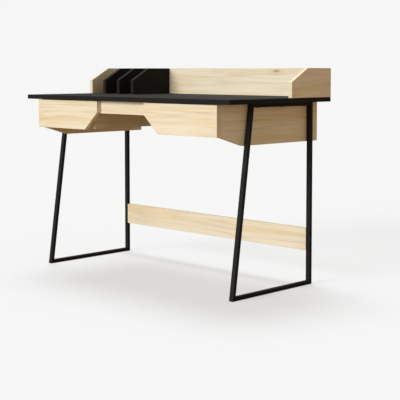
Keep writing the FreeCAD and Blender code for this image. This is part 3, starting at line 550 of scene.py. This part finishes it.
def tube_profile(width):
    """Inset, depth, tilt and wear round a tube's section, a rounded rectangle.

    The corners come in the order outer front, outer back, inner back, inner front, each with a
    quarter turn of tilt: inset = centre - radius * cos(tilt), depth = centre - radius * sin(tilt).
    """
    turn = np.linspace(0, np.pi / 2, TUBE_STEPS + 1)
    quarter = np.arange(4)[:, None] * np.pi / 2 + turn[None, :]
    tilt = (np.pi / 2 - quarter).ravel()
    centre_inset = np.repeat([TUBE_CORNER, TUBE_CORNER, TUBE_DEPTH - TUBE_CORNER,
                              TUBE_DEPTH - TUBE_CORNER], TUBE_STEPS + 1)
    centre_depth = np.repeat([TUBE_CORNER, width - TUBE_CORNER, width - TUBE_CORNER, TUBE_CORNER],
                             TUBE_STEPS + 1)
    return (centre_inset - TUBE_CORNER * np.cos(tilt), centre_depth - TUBE_CORNER * np.sin(tilt), tilt,
            np.tile(np.sin(2 * turn) ** 2, 4))


def lay_frame(i, j):
    """A simple UV map for a frame: a centimetre per step along it, a millimetre per step around."""
    return np.stack([i * 0.01, j * 0.001], -1)


# %% Building both frames
for word in ("left", "right"):
    names = [f"{word}_frame_{member}" for member in ("front_leg", "rear_leg", "floor_runner", "top_bar")]
    low, high = (np.array(corner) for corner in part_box(names[1]))
    front = cad_low.y
    outline = [(front + FRAME_FOOT, low[2]), (front + FRAME_BACK, low[2]),
               (front + FRAME_BACK, high[2]), (front + FRAME_FRONT_TOP, high[2])]
    inset, depth, tilt, worn = tube_profile(high[0] - low[0])
    points, normals = carry_around(outline, inset, depth, tilt, TUBE_CORNER)
    mesh = make_mesh(f"{word}_side_frame", points, worn * TUBE_WEAR, lay_frame)
    finish_piece(mesh, "YZ", high[0], normals, powder_coat, "desk", names)
    print(word, "frame", len(mesh.vertices), "vertices")

# %% [markdown]
# ## Drawer boxes
# Behind the fronts are plain boxes of birch board with a hardboard bottom. Their CAD shapes are
# already right, grooves included, so they only get a finish. They have no UV map, so the finish
# reads Object coordinates, put in the order along, across and through the grain of each board.

# %% Birch, hardboard and beech
def grain_vector(tree, order):
    """Object coordinates in the order given, such as "yzx" for a board whose grain runs along y."""
    split = add(tree, "SeparateXYZ", {"Vector": add(tree, "TexCoord", {}).outputs["Object"]}).outputs
    parts = {index: split["xyz".index(letter)] for index, letter in enumerate(order)}
    return add(tree, "CombineXYZ", parts).outputs[0]


def make_plain_wood(name, order, light, dark, ring_scale, roughness):
    """Quiet wood: long pale bands, fine fibres and short flecks on Object coordinates."""
    finish, tree, shader = new_finish(name)
    vector = grain_vector(tree, order)
    band = noise(tree, vector, (1.5, ring_scale, ring_scale), 4.0, 0.6)
    fibre = noise(tree, vector, (25.0, 900.0, 900.0), 2.0)
    fleck = between(tree, noise(tree, vector, (90.0, 700.0, 700.0), 1.0), 0.62, 0.72)
    colour = blend_colours(tree, between(tree, band, 0.3, 0.75), light, dark)
    colour = blend_colours(tree, maths(tree, "MULTIPLY", fleck, 0.35), colour, dark)
    put(tree, shader.inputs["Base Color"], colour)
    low, high = roughness
    put(tree, shader.inputs["Roughness"], between(tree, band, 0.2, 0.8, low, high))
    shader.inputs["Specular IOR Level"].default_value = 0.3
    bump = add(tree, "Bump", {"Height": fibre, "Strength": 0.4, "Distance": 0.00015})
    put(tree, shader.inputs["Normal"], bump.outputs["Normal"])
    return finish


def make_hardboard():
    """Brown pressed fibre: matted lumps at two sizes and dark strands."""
    finish, tree, shader = new_finish("brown_hardboard")
    place = add(tree, "TexCoord", {}).outputs["Object"]
    mat = noise(tree, place, (260.0, 260.0, 260.0), 5.0, 0.7)
    cloud = noise(tree, place, (18.0, 18.0, 18.0), 3.0)
    strand = between(tree, noise(tree, place, (120.0, 900.0, 400.0), 2.0), 0.60, 0.70)
    colour = blend_colours(tree, mat, (0.20, 0.115, 0.058, 1), (0.34, 0.215, 0.120, 1))
    colour = blend_colours(tree, maths(tree, "MULTIPLY", cloud, 0.4), colour, (0.27, 0.165, 0.09, 1))
    colour = blend_colours(tree, maths(tree, "MULTIPLY", strand, 0.4), colour, (0.10, 0.055, 0.03, 1))
    put(tree, shader.inputs["Base Color"], colour)
    put(tree, shader.inputs["Roughness"], between(tree, cloud, 0.3, 0.7, 0.42, 0.58))
    bump = add(tree, "Bump", {"Height": mat, "Strength": 0.5, "Distance": 0.0002})
    put(tree, shader.inputs["Normal"], bump.outputs["Normal"])
    return finish


# %% Woods of the drawer boxes
BIRCH_LIGHT = (0.70, 0.59, 0.43, 1)
BIRCH_DARK = (0.59, 0.46, 0.30, 1)
BEECH_LIGHT = (0.62, 0.44, 0.28, 1)
BEECH_DARK = (0.50, 0.33, 0.19, 1)
BIRCH_RINGS = 40.0  # bands per metre across the grain
BEECH_RINGS = 200.0
BIRCH_ROUGHNESS = (0.49, 0.61)
BEECH_ROUGHNESS = (0.59, 0.71)
birch_side = make_plain_wood("birch_along_depth", "yzx", BIRCH_LIGHT, BIRCH_DARK, BIRCH_RINGS,
                             BIRCH_ROUGHNESS)
birch_back = make_plain_wood("birch_along_width", "xzy", BIRCH_LIGHT, BIRCH_DARK, BIRCH_RINGS,
                             BIRCH_ROUGHNESS)
beech = make_plain_wood("beech_dowel", "zxy", BEECH_LIGHT, BEECH_DARK, BEECH_RINGS, BEECH_ROUGHNESS)
hardboard = make_hardboard()
print("woods", birch_side.name, birch_back.name, beech.name, hardboard.name)

# %% [markdown]
# ## Zinc, ball steel and black screws
# The runners are rolled from zinc-plated sheet, which shows faint lines along the rolling
# direction and cloudy patches. The cages are plainer, and the balls are polished. Metals differ
# mostly in colour and roughness, so one recipe with other numbers makes all of them.

# %% Metals
def make_metal(name, base, tarnish, lines, roughness, strength):
    """Bare or plated metal with rolling lines along y, clouds of tarnish and a fine bump."""
    finish, tree, shader = new_finish(name)
    place = add(tree, "TexCoord", {}).outputs["Object"]
    rolled = noise(tree, place, (lines, 6.0, lines), 3.0, 0.6)
    cloud = noise(tree, place, (70.0, 70.0, 70.0), 4.0)
    colour = blend_colours(tree, between(tree, cloud, 0.35, 0.75), base, tarnish)
    put(tree, shader.inputs["Base Color"], colour)
    low, high = roughness
    put(tree, shader.inputs["Roughness"], between(tree, rolled, 0.25, 0.75, low, high))
    shader.inputs["Metallic"].default_value = 1.0
    bump = add(tree, "Bump", {"Height": rolled, "Strength": strength, "Distance": 0.0001})
    put(tree, shader.inputs["Normal"], bump.outputs["Normal"])
    return finish


zinc = make_metal("zinc_plate", base=(0.70, 0.72, 0.75, 1), tarnish=(0.60, 0.62, 0.65, 1),
                  lines=1200.0, roughness=(0.34, 0.46), strength=0.15)
cage_steel = make_metal("cage_steel", base=(0.46, 0.47, 0.49, 1), tarnish=(0.36, 0.36, 0.37, 1),
                        lines=900.0, roughness=(0.34, 0.48), strength=0.2)
ball_steel = make_metal("ball_steel", base=(0.72, 0.72, 0.73, 1), tarnish=(0.62, 0.62, 0.63, 1),
                        lines=300.0, roughness=(0.08, 0.16), strength=0.05)
screw_black = make_metal("black_screw", base=(0.055, 0.055, 0.058, 1), tarnish=(0.11, 0.11, 0.11, 1),
                         lines=800.0, roughness=(0.32, 0.5), strength=0.2)
print("metals", zinc.name, cage_steel.name, ball_steel.name, screw_black.name)

# %% [markdown]
# ## Finishes for the CAD pieces that stay
# A CAD piece whose shape is right keeps its mesh. Its material slots are filled with the finish
# that its name calls for.

# %% Dressing the CAD nodes
FINISHES = (
    ("_drawer_outer_side", birch_side, "drawer_board"),
    ("_drawer_inner_side", birch_side, "drawer_board"),
    ("_drawer_back", birch_back, "drawer_board"),
    ("_drawer_bottom", hardboard, "hardboard"),
    ("_dowels", beech, "dowel_wood"),
    ("_cabinet_runner", zinc, "zinc_steel"),
    ("_drawer_runner", zinc, "zinc_steel"),
    ("_ball_cage", cage_steel, "cage_steel"),
    ("_bearing_balls", ball_steel, "ball_steel"),
    ("_runner_screws", zinc, "zinc_screw"),
    ("frame_screws", screw_black, "black_screw"),
    ("stretcher_bolts", screw_black, "black_screw"),
)


def dress(node, finish):
    """Gives a CAD object a finish in all its material slots."""
    if not node.material_slots:
        node.data.materials.append(finish)
    for holder in node.material_slots:
        holder.material = finish


for ending, finish, slot in FINISHES:
    matching = [name for name in nodes if name.endswith(ending)]
    for name in matching:
        dress(nodes[name], finish)
    print(f"{ending:20s} {len(matching)} pieces of {finish.name}")

# %% [markdown]
# ## Floor and background
# A product is usually set on a pale sweep whose floor and wall blend without a line. A level floor
# does the same here if its brightness equals the background's. The floor adds a share of its own
# light to the light it receives, so shadows on it stay faint. What it throws back at the desk is
# less than it shows, and warm, so the desk's shaded sides stay dark and keep the wood's colour, as
# between the black flags of a studio.

# %% Floor
BACKDROP = 0.922  # brightness of the background, and of the floor away from the desk
FLOOR_RADIUS = 80.0
FLOOR_SIDES = 96


def make_floor():
    """A round level floor: one face, whose corners are at equal angles around the desk."""
    angle = np.arange(FLOOR_SIDES) * 2 * np.pi / FLOOR_SIDES
    rim = np.stack([np.cos(angle), np.sin(angle), np.zeros(FLOOR_SIDES)], 1) * FLOOR_RADIUS
    rim[:, 2] = cad_low.z
    mesh = bpy.data.meshes.new("studio_floor")
    mesh.from_pydata(rim.tolist(), [], [list(range(FLOOR_SIDES))])
    floor = bpy.data.objects.new("studio_floor", mesh)
    bpy.context.scene.collection.objects.link(floor)
    floor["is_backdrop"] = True
    return floor


floor = make_floor()
print("floor radius", FLOOR_RADIUS, "at height", round(cad_low.z, 4))

# %% [markdown]
# ## Light
# A large soft key stands low and almost straight in front, so the drawer fronts are the brightest
# wood and the sides fall off. A second lamp overhead, a little behind and to the left, brightens
# the tops and lays the shadow under the desk, towards the sitter and to the right. A warm, nearly
# level reflector at the right lifts the side panel, and the world gives a low, slightly warm fill.
# Sun lamps with a wide disc light the whole floor evenly, where an area lamp would leave a pool.

# %% Lamps
AMBIENT = np.array((0.365, 0.330, 0.285))  # the fill, which comes from all round
WHITE = (1, 1, 1)
WARM = (1.0, 0.64, 0.36)
LAMPS = (  # name, direction of travel, strength, width of the disc in degrees, colour
    ("key", (0.16, 1.0, -0.32), 2.8, 34, WHITE),
    ("overhead", (0.36, -0.27, -1.0), 1.72, 28, WHITE),
    ("reflector", (-1.0, 0.25, -0.02), 0.42, 60, WARM),
)


def add_sun(name, direction, strength, spread, colour):
    """A sun lamp that shines along a direction; returns the light that it gives a level floor.

    A matt white floor under a sun shows strength * cos(angle from straight down) / pi.
    """
    lamp = bpy.data.lights.new(name, "SUN")
    lamp.energy = strength
    lamp.angle = math.radians(spread)
    lamp.color = colour
    sun = bpy.data.objects.new(name, lamp)
    bpy.context.scene.collection.objects.link(sun)
    travel = Vector(direction).normalized()
    sun.rotation_euler = travel.to_track_quat("-Z", "Y").to_euler()
    return strength * np.array(colour) * -travel.z / math.pi


on_floor = AMBIENT.copy()
for lamp in LAMPS:
    on_floor += add_sun(*lamp)
print("light on an open floor", on_floor.round(3))

# %% World
def make_world():
    """An even fill for the desk, and the backdrop's own brightness where the camera sees it."""
    world = bpy.data.worlds.new("studio")
    bpy.context.scene.world = world
    world.use_nodes = True
    tree = world.node_tree
    tree.nodes.clear()
    seen = add(tree, "LightPath", {}).outputs["Is Camera Ray"]
    fill = add(tree, "Background", {"Color": (*AMBIENT, 1), "Strength": 1.0}).outputs[0]
    shown = add(tree, "Background", {"Color": (1, 1, 1, 1), "Strength": BACKDROP}).outputs[0]
    mixed = add(tree, "MixShader", {0: seen, 1: fill, 2: shown}).outputs[0]
    out = add(tree, "OutputWorld", {})
    tree.links.new(mixed, out.inputs["Surface"])


make_world()
print("world", bpy.context.scene.world.name)

# %% Floor finish
FLOOR_OWN_LIGHT = 0.53  # share of the floor's brightness that no shadow can take away
FLOOR_BOUNCE = (0.36, 0.25, 0.15, 1)  # the floor's matt colour for light that goes on to the desk


def finish_floor():
    """Pale floor: a share of its own light, and a matt surface that is as bright as the backdrop."""
    finish = bpy.data.materials.new("pale_floor")
    finish.use_nodes = True
    tree = finish.node_tree
    tree.nodes.clear()
    seen = add(tree, "LightPath", {}).outputs["Is Camera Ray"]
    pale = BACKDROP / on_floor
    glow = add(tree, "Emission", {"Color": (1, 1, 1, 1), "Strength": BACKDROP}).outputs[0]
    matt = add(tree, "BsdfDiffuse", {"Color": (*pale, 1)}).outputs[0]
    shown = add(tree, "MixShader", {0: FLOOR_OWN_LIGHT, 1: matt, 2: glow}).outputs[0]
    dim = add(tree, "BsdfDiffuse", {"Color": FLOOR_BOUNCE}).outputs[0]
    mixed = add(tree, "MixShader", {0: seen, 1: dim, 2: shown}).outputs[0]
    out = add(tree, "OutputMaterial", {})
    tree.links.new(mixed, out.inputs["Surface"])
    floor.data.materials.append(finish)


finish_floor()
bpy.context.scene.view_settings.view_transform = "Standard"
print("matt colour of the floor", (BACKDROP / on_floor).round(3))

# %% [markdown]
# ## Camera
# The desk is seen from its front right, from just above the top, through a long lens. A camera
# that is tilted to take in the feet would make the uprights lean together. This one looks down by
# a few degrees only, and the lens is shifted to bring the desk into the picture, as an architect's
# camera does.

# %% Camera
CAMERA_PLACE = (3.1101, -2.9895, 0.8522)
CAMERA_PITCH = 4.0  # degrees below level
CAMERA_YAW = 44.575  # degrees to the left of straight along the desk's depth
LENS = 93.27
SENSOR = 36.0
LENS_SHIFT = -0.1437  # share of the picture's width; below zero the desk moves up in the picture
FARTHEST = 300.0

lens = bpy.data.cameras.new("camera")
lens.lens = LENS
lens.sensor_width = SENSOR
lens.shift_y = LENS_SHIFT
lens.clip_end = FARTHEST
camera = bpy.data.objects.new("camera", lens)
camera.location = CAMERA_PLACE
camera.rotation_euler = (math.radians(90 - CAMERA_PITCH), 0, math.radians(CAMERA_YAW))
bpy.context.scene.collection.objects.link(camera)
bpy.context.scene.camera = camera
print("camera", [round(value, 3) for value in camera.location], "lens", LENS, "mm")

# %% [markdown]
# The looks must not change the desk's size. The CAD box and the box of everything that shows are
# written side by side.

# %% Finish
low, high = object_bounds()
print("visual box", [round(v, 4) for v in low], [round(v, 4) for v in high])
